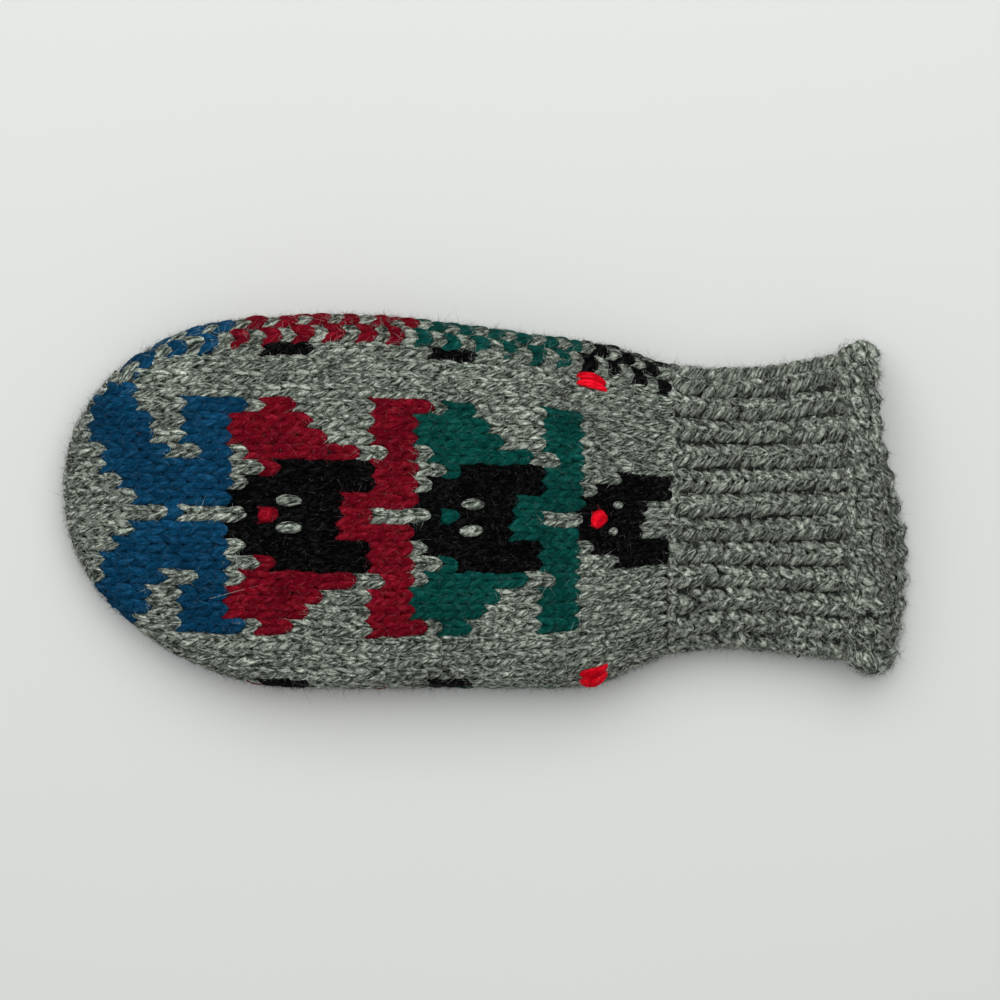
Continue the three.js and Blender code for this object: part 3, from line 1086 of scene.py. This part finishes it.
def ramped(tree, source, *stops):
    """A colour ramp over a value, with a place and a colour for each of its stops."""
    ramp = add(tree, "ShaderNodeValToRGB", links={"Fac": source})
    elements = ramp.color_ramp.elements
    for element, (place, value) in zip((elements[0], elements[1]), (stops[0], stops[-1])):
        element.position = place
        element.color = value
    for place, value in stops[1:-1]:
        elements.new(place).color = value
    return ramp.outputs["Color"]


# The yarn's real sizes: a strand between two crossings, the flecks along it, how far one ply takes to
# turn round it, and the tufts of its felted surface. Fibres of 0.03 mm are too fine to show, so the
# flecks are bundles of them.
STRAND_LENGTH_MM = 6.0
STRAND_GIRTH_MM = 6.5
FLECK_LENGTH_MM = 1.5
FLECK_WIDTH_MM = 0.7
PLY_TWIST_MM = 15.0
TUFT_MM = 0.8

# How far apart in the pattern the strands lie, so that no two look alike.
STRAND_APART = 97.0

# Patches 17 mm wide make the fabric uneven. The hairs of its relief lie 0.4 mm apart, ten times as
# coarse as real ones. Both are given as so many in a metre.
PATCHES_PER_METRE = 60.0
HAIRS_PER_METRE = 2600.0


def spun_wool(tree, dark, middle, light, contrast, tufting, gloss):
    """Woollen-spun two-ply yarn, a little felted. Flecks of paler and darker fibre run along each
    strand and turn round it with the plies, tufts break up its surface, and it hardly shines."""
    uv = add(tree, "ShaderNodeUVMap", {"uv_map": "strand"})
    split = add(tree, "ShaderNodeSeparateXYZ", links={0: uv.outputs["UV"]})
    tone = add(tree, "ShaderNodeAttribute", {"attribute_name": "tone"}).outputs["Fac"]
    place = add(tree, "ShaderNodeTexCoord").outputs["Object"]
    product, product_and_sum = {"operation": "MULTIPLY"}, {"operation": "MULTIPLY_ADD"}
    scaled = {"operation": "SCALE"}
    girth = STRAND_GIRTH_MM / FLECK_WIDTH_MM
    twist = STRAND_LENGTH_MM / PLY_TWIST_MM * girth
    around = add(tree, "ShaderNodeMath", product, {1: girth}, {0: split.outputs["X"]})
    sources = {0: split.outputs["Y"], 2: around.outputs[0]}
    turned = add(tree, "ShaderNodeMath", product_and_sum, {1: twist}, sources)
    flecks_long = {1: STRAND_LENGTH_MM / FLECK_LENGTH_MM}
    along = add(tree, "ShaderNodeMath", product, flecks_long, {0: split.outputs["Y"]})
    apart = add(tree, "ShaderNodeMath", product, {1: STRAND_APART}, {0: tone})
    sources = {0: turned.outputs[0], 1: along.outputs[0], 2: apart.outputs[0]}
    on_strand = add(tree, "ShaderNodeCombineXYZ", links=sources)
    sizes = {"Scale": 1.0, "Detail": 3.0, "Roughness": 0.6}
    flecks = add(tree, "ShaderNodeTexNoise", inputs=sizes, links={"Vector": on_strand.outputs[0]})
    stops = (0.5 - contrast, dark), (0.5, middle), (0.5 + contrast, light)
    colours = ramped(tree, flecks.outputs["Fac"], *stops)

    sizes = {"Scale": PATCHES_PER_METRE, "Detail": 2.0}
    patches = add(tree, "ShaderNodeTexNoise", inputs=sizes, links={"Vector": place})
    span = {"From Min": 0.3, "From Max": 0.7, "To Min": 0.8, "To Max": 1.2}
    level = add(tree, "ShaderNodeMapRange", inputs=span, links={"Value": patches.outputs["Fac"]})
    span = {"From Min": 0.0, "From Max": 1.0, "To Min": 0.82, "To Max": 1.18}
    strand_level = add(tree, "ShaderNodeMapRange", inputs=span, links={"Value": tone})
    sources = {0: level.outputs[0], 1: strand_level.outputs[0]}
    both = add(tree, "ShaderNodeMath", product, links=sources)
    shaded = add(tree, "ShaderNodeVectorMath", scaled, links={0: colours, "Scale": both.outputs[0]})
    sizes = {"Scale": 1 / (TUFT_MM * MM), "Detail": 3.0, "Roughness": 0.65}
    tufts = add(tree, "ShaderNodeTexNoise", inputs=sizes, links={"Vector": place})
    span = {"From Min": 0.35, "From Max": 0.65, "To Min": 1 - tufting, "To Max": 1 + tufting}
    tuft_level = add(tree, "ShaderNodeMapRange", inputs=span, links={"Value": tufts.outputs["Fac"]})
    sources = {0: shaded.outputs[0], "Scale": tuft_level.outputs[0]}
    felted = add(tree, "ShaderNodeVectorMath", scaled, links=sources)

    sizes = {"Scale": HAIRS_PER_METRE, "Detail": 3.0, "Roughness": 0.7}
    hairs = add(tree, "ShaderNodeTexNoise", inputs=sizes, links={"Vector": place})
    sources = {0: flecks.outputs["Fac"], 2: hairs.outputs["Fac"]}
    relief = add(tree, "ShaderNodeMath", product_and_sum, {1: 0.7}, sources)
    sizes = {"Strength": 0.7, "Distance": 0.5 * MM}
    bump = add(tree, "ShaderNodeBump", inputs=sizes, links={"Height": relief.outputs[0]})
    finish = {"Roughness": 0.9, "Specular IOR Level": gloss}
    sources = {"Base Color": felted.outputs[0], "Normal": bump.outputs[0]}
    return add(tree, "ShaderNodeBsdfPrincipled", inputs=finish, links=sources)


def marl_wool():
    """Marl yarn, spun from pale and dark fibres that stay apart: they read as crisp flecks."""
    colours = wool().grey_dark, wool().grey, wool().grey_light
    contrast, tufting, gloss = 0.12, 0.42, 0.1
    return shared("marl_wool", spun_wool, *colours, contrast, tufting, gloss)


def dyed_wool(key):
    """Dyed yarn: one deep colour, with fibres a little darker and paler than it."""
    base = getattr(wool(), key)
    colours = times(base, 0.45), base, times(base, 1.7, 0.012)
    contrast, tufting, gloss = 0.22, 0.22, 0.02
    return shared(f"{key}_dyed_wool", spun_wool, *colours, contrast, tufting, gloss)


def painted_shade_reverse_side(tree):
    """The reverse side of knitted wool, deep between the strands, in painted shade: the grey wool darkened
    to a third, and darker still in the hollows between its bumps; dull and bumpy.
    """
    place = add(tree, "ShaderNodeTexCoord").outputs["Object"]
    bump_size = {"Scale": 1 / (3.6 * MM)}
    cells = add(tree, "ShaderNodeTexVoronoi", inputs=bump_size, links={"Vector": place})
    away = cells.outputs["Distance"]
    # Painted shade: the ramp runs from the grey wool at a third of its brightness to the dark grey at a
    # third of its own, darkest in the hollows between the bumps, where shade falls.
    colours = ramped(tree, away, (0, times(wool().grey, 0.32)), (1, times(wool().grey_dark, 0.35)))
    sizes = {"Strength": 1.0, "Distance": 1.2 * MM}
    bump = add(tree, "ShaderNodeBump", {"invert": True}, sizes, {"Height": away})
    finish = {"Roughness": 0.95, "Specular IOR Level": 0.1}
    sources = {"Base Color": colours, "Normal": bump.outputs[0]}
    return add(tree, "ShaderNodeBsdfPrincipled", inputs=finish, links=sources)


def felted_ground():
    """The closed fabric behind the strands, coloured dark as painted shade, which shows as shadow between
    them.
    """
    return shared("felted_ground", painted_shade_reverse_side)


def single_fibre(tree):
    """A single wool fibre, in the colour that it carries."""
    tint = add(tree, "ShaderNodeAttribute", {"attribute_name": "tint"})
    finish = {"Roughness": 0.7, "Specular IOR Level": 0.3}
    return add(tree, "ShaderNodeBsdfPrincipled", inputs=finish, links={"Base Color": tint.outputs["Color"]})


def loose_fibre():
    """Fibres that have worked loose from the yarn: thin and dull, they blur its outline."""
    return shared("loose_fibre", single_fibre)


def matt_paint(tree):
    """Matt paint on a smooth board: pale and even, with the faintest unevenness."""
    place = add(tree, "ShaderNodeTexCoord").outputs["Object"]
    cloud = add(tree, "ShaderNodeTexNoise", inputs={"Scale": 3.0, "Detail": 2.0}, links={"Vector": place})
    colours = ramped(tree, cloud.outputs["Fac"], (0, times(wool().table, 0.97)), (1, wool().table))
    finish = {"Roughness": 0.6, "Specular IOR Level": 0.3}
    return add(tree, "ShaderNodeBsdfPrincipled", inputs=finish, links={"Base Color": colours})


def painted_table():
    """The painted table top, which takes the mitten's soft shadow."""
    return shared("painted_table", matt_paint)


# Pieces

HAND = HandKnit()
CUFF = CuffKnit()


class MITTEN_OT_hand_ground(bpy.types.Operator):
    """Make the closed fabric of the hand, under its strands"""

    bl_idname = "mitten.hand_ground"
    bl_label = "Hand fabric"

    def execute(self, context):
        ground_fabric("hand_ground", "hand", outer=0.9 * MM, inner=0.3 * MM)
        return {"FINISHED"}


class MITTEN_OT_hand_stitches(bpy.types.Operator):
    """Knit the hand from its chart, one piece for each yarn"""

    bl_idname = "mitten.hand_stitches"
    bl_label = "Hand stitches"

    def execute(self, context):
        random = np.random.default_rng(11)
        stitches = HAND.stitches()
        skins = (HAND.back, BACK_SWELL), (HAND.strip, STRIP_SWELL), (HAND.palm, PALM_SWELL)
        for key in ("grey", "blue", "crimson", "green", "black", "red"):
            dyed = float(key != "grey")
            parts = []
            for skin, swell in skins:
                mine = [(s[1], s[2]) for s in stitches if s[0] is skin and s[3] == key]
                if mine:
                    columns, rows = np.array(mine).T
                    lift = loft(rows)[:, None]
                    if skin is not HAND.back:
                        lift = lift + (DYED_LIFT * dyed - SIDE_SINK)
                    parts.append(legs(skin, columns, rows, random, lift=lift, felted=swell * dyed))
            strands = [np.concatenate(values) for values in zip(*parts)]
            knitted(f"hand_{key}_stitches", "hand", strands, dyed_wool(key) if dyed else None)
        return {"FINISHED"}


class MITTEN_OT_embroidery(bpy.types.Operator):
    """Sew the eyes, the noses and the bright dots on top of the knitting"""

    bl_idname = "mitten.embroidery"
    bl_label = "Embroidery"

    def execute(self, context):
        random = np.random.default_rng(23)
        for name, material, marks in (
            ("eye_stitches", marl_wool(), EYES),
            ("scarlet_nose_stitches", dyed_wool("scarlet"), NOSES[:1]),
            ("green_nose_stitches", dyed_wool("green"), NOSES[1:2]),
            ("red_nose_stitches", dyed_wool("red"), NOSES[2:]),
            ("dot_stitches", dyed_wool("red"), DOTS),
        ):
            places = np.array([place for mark in marks for place in self.strands(random, *mark)])
            knitted(name, "hand", (places, random.random(len(places))), material)
        return {"FINISHED"}

    def strands(self, random, column, row, width, reach, rise, slant, count):
        """The strands of one sewn stitch, side by side, the outer ones shorter and lower."""
        across, up, along = strand_axes()
        half = width / 2 / count
        for k in np.linspace(-1, 1, count) if count > 1 else (0,):
            middle = column + k * (width / 2 - half) + slant * along
            side = middle + across * half * SEWN_WIDER * (1 - SEWN_TAPER * along**2)
            end = row + along * reach * (1 - OUTER_SHORTER * k * k) + random.normal(0, SEWN_STRAY)
            crest = loft(row) + rise * MM * (1 - OUTER_LOWER * k * k)
            height = crest + up * SEWN_THICKNESS - along**2 * (rise + SEWN_TUCK) * MM
            yield HAND.back.place(side, end, height)


class MITTEN_OT_cuff(bpy.types.Operator):
    """Knit the cuff: a raised rib of V stitches and a furrow of purl bumps, in turn"""

    bl_idname = "mitten.cuff"
    bl_label = "Ribbed cuff"

    def execute(self, context):
        random = np.random.default_rng(31)
        ground_fabric("cuff_ground", "ribbed_cuff", outer=2.2 * MM, inner=0.2 * MM)
        column, row = every(np.arange(RIBS), np.arange(CUFF_ROWS))
        lift = (RIB_LOFT + knit().rib_relief / 2 * rib_fade(row))[:, None]
        column = column + waver(column, row, random, RIB_WAVER)
        flat = (1 - rib_fade(row))[:, None]
        width = RIB_SHARE + RIB_SPREAD * flat
        ribs = legs(CUFF.ribs, column, row, random, width=width, lift=lift, **RIB_LEGS)
        knitted("cuff_rib_stitches", "ribbed_cuff", ribs)
        deep = np.minimum(lift - PURL_UNDER, RIB_LOFT - PURL_DEPTH * lift + PURL_RISE * np.sqrt(flat))
        furrows = bars(
            CUFF.ribs, column + 0.5, row + 0.5, random,
            reach=PURL_REACH + PURL_SPREAD * flat, thick=0.45, lift=deep, arch=0.1, bow=0.4 * MM
        )
        knitted("cuff_purl_stitches", "ribbed_cuff", furrows)
        column, row = every(np.arange(RIBS) + 0.5, np.arange(CUFF_INSIDE_ROWS) + 0.5)
        lift = np.full((len(row), 1), CUFF_INSIDE_LOFT)
        inside = legs(CUFF.ribs, column, row, random, width=RIB_SHARE, lift=lift, wall=CUFF_WALL, **RIB_LEGS)
        knitted("cuff_inside_stitches", "ribbed_cuff", inside)
        return {"FINISHED"}


class MITTEN_OT_rolled_edge(bpy.types.Operator):
    """Knit the edge that rolls outwards and shows its reverse side: lines of purl bumps"""

    bl_idname = "mitten.rolled_edge"
    bl_label = "Rolled edge"

    def execute(self, context):
        random = np.random.default_rng(41)
        ground_fabric("edge_ground", "rolled_edge", outer=1.3 * MM, inner=1.3 * MM)
        column, row = every(np.arange(2 * RIBS) / 2, np.arange(0.5, ROLL_LINES))
        odd = (row - 0.5) % 2
        arch = (ROLL_ARCH * (1 - 2 * odd))[:, None] + random.normal(0, ROLL_ARCH_STRAY, (len(row), 1))
        lift = ROLL_LOFT + waver(3 * column, 2 * row, random, ROLL_WAVER)
        lift = (lift + random.normal(0, ROLL_STRAY, len(row)))[:, None]
        bumps = bars(
            CUFF.roll, column + odd / 4, row, random,
            reach=0.3, thick=0.84, lift=lift, arch=arch, bow=1.2 * MM
        )
        knitted("edge_purl_stitches", "rolled_edge", bumps)
        return {"FINISHED"}


class MITTEN_OT_thumb(bpy.types.Operator):
    """Knit the thumb, which is folded flat under the palm"""

    bl_idname = "mitten.thumb"
    bl_label = "Thumb"

    def execute(self, context):
        random = np.random.default_rng(51)
        ground_fabric("thumb_ground", "thumb", outer=1.5 * MM, inner=0.3 * MM)
        outside = Outside("thumb")
        first, last = THUMB_BEND_X, outside.low.x + THUMB_END
        row_length = (first - last) / THUMB_ROWS
        tube = Tube(outside, first, last, lambda ring, x: int(np.argmin(ring[:, 1])), smooth=4)
        columns = np.arange(-1, THUMB_COLUMNS + 1.01, GRID)
        column, row = np.meshgrid(columns, np.arange(0, THUMB_ROWS + 0.01, GRID))
        points = tube.point(column / THUMB_COLUMNS, first - row * row_length)
        steps = np.arange(THUMB_BEND_ROWS, 0, -GRID) * row_length
        bends = [self.bend(outside, start, steps) for start in points[0]]
        bend = np.stack([line for line, reach in bends], 1)
        skin = Skin(np.concatenate([bend, points]), columns[0], -THUMB_BEND_ROWS)
        column, row = every(np.arange(THUMB_COLUMNS), np.arange(-THUMB_BEND_ROWS, THUMB_ROWS))
        reach = np.array([bends[int((c - columns[0]) / GRID)][1] for c in column])
        kept = (row >= 0) | ((-row - 1) * row_length < reach)
        knitted("thumb_stitches", "thumb", legs(skin, column[kept], row[kept], random))
        return {"FINISHED"}

    def bend(self, outside, start, steps):
        """Points on the outside of the bend, these steps along it from a start on the tube, and how
        far the outside goes on. It goes nowhere on the side that faces the palm."""
        core = (start[0], start[1], (outside.low.z + outside.high.z) / 2)
        straight = start + steps[:, None] * np.array([1.0, 0, 0])
        if start[2] > core[2]:
            return straight, 0
        line = [start]
        for turn in np.linspace(0.02, math.radians(THUMB_BEND_ANGLE), THUMB_BEND_LOOKS):
            point = outside.meet(core, (math.sin(turn), 0, -math.cos(turn)))
            if point is None:
                break
            line.append(point)
        if len(line) <= THUMB_BEND_FEWEST:
            return outside.nearest(straight), steps[0]
        line = smoothed(np.array(line, float), 2, False)
        return on_line(steps, line), run_along(line)[-1]


class MITTEN_OT_fuzz(bpy.types.Operator):
    """Let the loose fibres out of the wool, and lay the long stray ones on the back"""

    bl_idname = "mitten.fuzz"
    bl_label = "Fuzz"

    def execute(self, context):
        random = np.random.default_rng(61)
        for name, shape, count in (("hand_fuzz", FIBRE, HAND_FIBRES), ("hand_nap", SHORT_FIBRE, HAND_NAP)):
            fibres(name, "hand", shape, *self.hand_roots(count, random, shape is FIBRE), random)
        for name, node, shape, count in (
            ("cuff_fuzz", "ribbed_cuff", FIBRE, CUFF_FIBRES),
            ("cuff_nap", "ribbed_cuff", SHORT_FIBRE, CUFF_NAP),
            ("edge_fuzz", "rolled_edge", FIBRE, EDGE_FIBRES),
            ("edge_nap", "rolled_edge", SHORT_FIBRE, EDGE_NAP),
        ):
            roots = self.cuff_roots(count, random, shape is FIBRE, node == "ribbed_cuff")
            fibres(name, node, shape, *roots, random)
        self.strays(random)
        return {"FINISHED"}

    def cuff_roots(self, count, random, more_at_sides, on_ribs):
        """Where fibres leave the ribs of the cuff or the rolled edge, with their colours."""
        column = random.uniform(0, RIBS, count)
        if more_at_sides:
            side = random.choice((0, RIBS / 2), count) + random.normal(0, 1.0, count)
            column = np.where(random.random(count) < SIDE_SHARE, side % RIBS, column)
        row = random.uniform(0, CUFF_ROWS if on_ribs else ROLL_LINES, count)
        skin, height = CUFF.roll, np.full(count, EDGE_ROOTS)
        if on_ribs:
            off = RIB_ROOTS * ((column + 0.5) % 1 - 0.5)
            column = np.round(column) + off
            crown = knit().rib_relief * rib_fade(row) * (ROOT_CROWN - ROOT_FALL * off**2)
            skin, height = CUFF.ribs, RIB_LOFT + crown - ROOT_DEPTH
        roots = skin.place(column, row, height)
        tints = np.array([fibre_tint("grey", random) for k in range(count)])
        return roots, skin.sample(skin.normals, column, row), tints

    def hand_roots(self, count, random, more_at_sides):
        """Where fibres leave the hand's stitches, more of them on its back, with their colours."""
        stitches = HAND.stitches()
        roots, normals, tints = [], [], []
        on_the_back = int(count * BACK_SHARE)
        for on_back, some in ((True, on_the_back), (False, count - on_the_back)):
            chosen = [s for s in stitches if (s[0] is not HAND.palm) == on_back]
            if on_back and more_at_sides:
                chosen += SIDE_FIBRES * [s for s in chosen if self.is_at_side(*s[:3])]
            picks = random.integers(0, len(chosen), some)
            column = np.array([chosen[k][1] for k in picks]) + random.uniform(-0.5, 0.5, some)
            row = np.array([chosen[k][2] for k in picks]) + random.uniform(0, 1, some)
            for skin in (HAND.back, HAND.strip, HAND.palm):
                mine = np.array([chosen[k][0] is skin for k in picks])
                if mine.any():
                    height = loft(row[mine]) - random.uniform(*HAND_ROOTS, mine.sum()) * MM
                    roots.append(skin.place(column[mine], row[mine], height))
                    normals.append(skin.sample(skin.normals, column[mine], row[mine]))
                    tints += [fibre_tint(chosen[k][3], random) for k, own in zip(picks, mine) if own]
        return np.concatenate(roots), np.concatenate(normals), np.array(tints)

    def is_at_side(self, skin, column, row):
        """Whether a stitch is near the mitten's outline as it lies."""
        return skin is HAND.strip or column < BACK_FIRST + SIDE_STITCHES or row > LAST_ROW

    def back_height(self, x, y):
        """The height of the back of the hand over a place on the table."""
        found = HAND.outside.meet((x, y, 0), (0, 0, 1))
        return found.z if found else CAD_BOX[1].z

    def strays(self, random):
        """The long single fibres that lie across the back."""
        x, y, z = FIBRE.corners.T
        along = (z + 1) / 2
        radius = STRAY_RADIUS * knit().fibre
        places = []
        for (start_x, start_y), (run_x, run_y) in STRAYS:
            line_x = (start_x + run_x * along) * MM
            line_y = (start_y + run_y * along) * MM
            tops = np.array([self.back_height(a, b) for a, b in zip(line_x, line_y)])
            height = tops + (STRAY_HEIGHT + STRAY_BOW * along * (1 - along)) * MM
            places.append(np.stack([line_x + x * radius, line_y + y * radius, height], 1))
        tints = np.tile(linear("d8dccf"), (len(places), 1))
        piece = repeated("stray_fibres", FIBRE, np.array(places), random.random(len(places)), tints)
        dressed(piece, "hand", loose_fibre())


class MITTEN_OT_stage(bpy.types.Operator):
    """Set up the table, the light and the camera"""

    bl_idname = "mitten.stage"
    bl_label = "Stage"

    def execute(self, context):
        scene = context.scene
        scene.view_settings.view_transform = "Standard"
        self.table()
        world = bpy.data.worlds.new("soft_room")
        world.use_nodes = True
        background = world.node_tree.nodes["Background"]
        background.inputs["Color"].default_value = linear("f6f7f8")
        background.inputs["Strength"].default_value = ROOM_LIGHT
        scene.world = world
        lamp = bpy.data.lights.new("window", "AREA")
        lamp.shape = "RECTANGLE"
        lamp.size, lamp.size_y = WINDOW_SIZE
        lamp.energy = WINDOW_POWER
        lamp.color = linear("fdfefc")[:3]
        window = linked("window", lamp)
        window.location = WINDOW_PLACE
        window.rotation_euler = (-window.location).to_track_quat("-Z", "Y").to_euler()
        lens = bpy.data.cameras.new("overhead")
        lens.lens = LENS
        scene.camera = linked("overhead", lens)
        distance = FRAME_WIDTH * lens.lens / lens.sensor_width
        scene.camera.location = (*CAMERA_PLACE, SUBJECT_HEIGHT + distance)
        return {"FINISHED"}

    def table(self):
        """The table top that the mitten lies on."""
        bm = bmesh.new()
        bmesh.ops.create_grid(bm, x_segments=1, y_segments=1, size=TABLE_HALF)
        mesh = bpy.data.meshes.new("table_top")
        bm.to_mesh(mesh)
        bm.free()
        mesh.materials.append(painted_table())
        floor = linked("table_top", mesh)


class MITTEN_PT_workshop(bpy.types.Panel):
    """The sidebar page with every step of the mitten"""

    bl_idname = "MITTEN_PT_workshop"
    bl_label = "Knitted Mitten"
    bl_space_type = "VIEW_3D"
    bl_region_type = "UI"
    bl_category = "Mitten"

    def draw(self, context):
        layout = self.layout
        for owner, group in ((knit(), MittenKnit), (wool(), MittenWool)):
            box = layout.box()
            for key in group.__annotations__:
                box.prop(owner, key)
        steps = layout.column(align=True)
        for kind in STEPS:
            steps.operator(kind.bl_idname, text=kind.bl_label)


STEPS = (
    MITTEN_OT_hand_ground,
    MITTEN_OT_hand_stitches,
    MITTEN_OT_embroidery,
    MITTEN_OT_cuff,
    MITTEN_OT_rolled_edge,
    MITTEN_OT_thumb,
    MITTEN_OT_fuzz,
    MITTEN_OT_stage,
)
CLASSES = (MittenKnit, MittenWool, *STEPS, MITTEN_PT_workshop)


def register():
    for kind in CLASSES:
        bpy.utils.register_class(kind)
    bpy.types.Scene.mitten_knit = bpy.props.PointerProperty(type=MittenKnit)
    bpy.types.Scene.mitten_wool = bpy.props.PointerProperty(type=MittenWool)


def unregister():
    del bpy.types.Scene.mitten_wool
    del bpy.types.Scene.mitten_knit
    for kind in reversed(CLASSES):
        bpy.utils.unregister_class(kind)


def main():
    register()
    bpy.ops.mitten.hand_ground()
    bpy.ops.mitten.hand_stitches()
    bpy.ops.mitten.embroidery()
    bpy.ops.mitten.cuff()
    bpy.ops.mitten.rolled_edge()
    bpy.ops.mitten.thumb()
    bpy.ops.mitten.fuzz()
    bpy.ops.mitten.stage()


if __name__ == "__main__":
    main()
